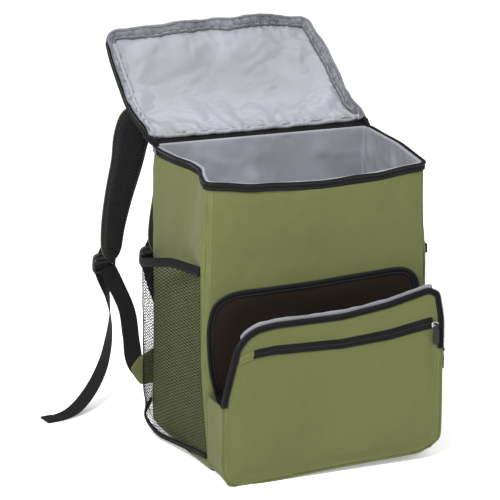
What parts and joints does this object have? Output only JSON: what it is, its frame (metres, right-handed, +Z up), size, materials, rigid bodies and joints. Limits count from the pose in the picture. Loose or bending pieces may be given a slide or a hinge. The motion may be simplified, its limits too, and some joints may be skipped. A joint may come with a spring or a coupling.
{
  "type": "cooler backpack",
  "caption": "Soft insulated backpack standing open, with a hinged padded lid, a gaping front pocket, net side pockets and padded shoulder straps.",
  "frame": {"origin": "centre of the flat base, on the surface it stands on", "axes": "+Z up, +Y towards the wearer's back, -Y the front pocket, +X right as seen from the front"},
  "size_m": [0.4678, 0.4446, 0.4963],
  "materials": {
    "olive_cloth": "matte polyester canvas, fine plain weave, olive green",
    "grey_lining": "smooth grey coated lining with a soft sheen and wrinkles",
    "black_tape": "black woven zip tape and binding",
    "black_net": "black knitted net",
    "air_mesh": "black padded air mesh",
    "webbing": "charcoal woven webbing",
    "grey_plastic": "moulded dark grey plastic",
    "pale_metal": "pale cast zip slider",
    "dark_slider": "dark coated zip slider",
    "black_rubber": "moulded black pull tab"
  },
  "bodies": {
    "bag": {"body_front_panel": "olive_cloth", "body_back_panel": "olive_cloth", "body_side_left": "olive_cloth", "body_side_right": "olive_cloth", "body_bottom_panel": "olive_cloth", "lid_outer": "olive_cloth", "pocket_front_panel": "olive_cloth", "pocket_gusset": "olive_cloth", "slip_zip_tab": "olive_cloth", "strap_outer_left": "olive_cloth", "strap_outer_right": "olive_cloth", "strap_tab_left": "olive_cloth", "strap_tab_right": "olive_cloth", "cooler_lining": "grey_lining", "lid_lining": "grey_lining", "pocket_lining": "grey_lining", "rim_zip_tape": "black_tape", "hinge_binding": "black_tape", "lid_zip_tape": "black_tape", "pocket_zip_front": "black_tape", "pocket_zip_back": "black_tape", "slip_zip": "black_tape", "mesh_top_binding_left": "black_tape", "mesh_top_binding_right": "black_tape", "mesh_bottom_binding_left": "black_tape", "mesh_bottom_binding_right": "black_tape", "mesh_net_left": "black_net", "mesh_net_right": "black_net", "strap_mesh_left": "air_mesh", "strap_mesh_right": "air_mesh", "strap_webbing_left": "webbing", "strap_webbing_right": "webbing", "strap_tail_left": "webbing", "strap_tail_right": "webbing", "strap_buckle_left": "grey_plastic", "strap_buckle_right": "grey_plastic", "slip_slider": "pale_metal", "rim_slider_left": "pale_metal", "rim_slider_right": "pale_metal", "pocket_slider": "dark_slider"},
    "slip_pull": {"slip_pull": "black_rubber"},
    "pocket_pull": {"pocket_pull": "black_rubber"}
  },
  "joints": [
    {"name": "slip_pull_swing", "type": "hinge", "parent": "bag", "child": "slip_pull", "pos_m": [0.14016, -0.15658, 0.181], "axis": [-1, 0, 0], "range_deg": [0, 150]},
    {"name": "pocket_pull_swing", "type": "hinge", "parent": "bag", "child": "pocket_pull", "pos_m": [0.1544, -0.1443, 0.14421], "axis": [0, -1, 0], "range_deg": [0, 120]}
  ]
}
